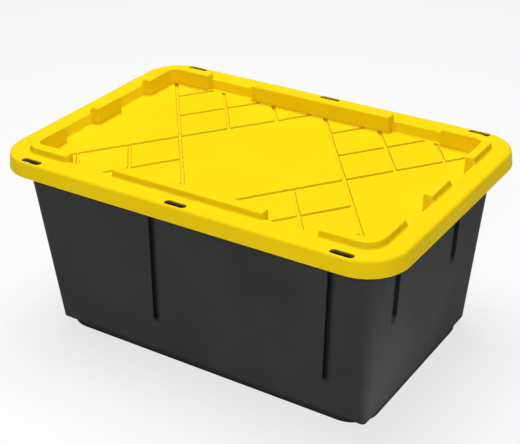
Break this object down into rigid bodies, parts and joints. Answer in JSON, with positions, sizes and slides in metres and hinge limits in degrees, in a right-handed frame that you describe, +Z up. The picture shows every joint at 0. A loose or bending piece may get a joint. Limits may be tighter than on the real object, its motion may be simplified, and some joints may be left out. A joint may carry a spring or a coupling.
{
  "type": "storage bin",
  "caption": "Rectangular tapered storage bin with a lift-off lid whose recessed top takes the foot of another bin stacked on it.",
  "frame": {"origin": "centre of the bin's plan, on the floor it stands on", "axes": "+X along the long sides, +Y towards the back long side, +Z up"},
  "size_m": [0.772, 0.517, 0.3675],
  "materials": {
    "tub_plastic": "moulded polypropylene, near-black, fine satin texture with light rubbing at corners",
    "lid_plastic": "moulded polypropylene, strong yellow, satin"
  },
  "bodies": {
    "tub": {"tub": "tub_plastic"},
    "lid": {"lid": "lid_plastic"}
  },
  "joints": [
    {"name": "lid_lift", "type": "slide", "parent": "tub", "child": "lid", "axis": [0, 0, 1], "range_m": [0, 0.3]}
  ]
}
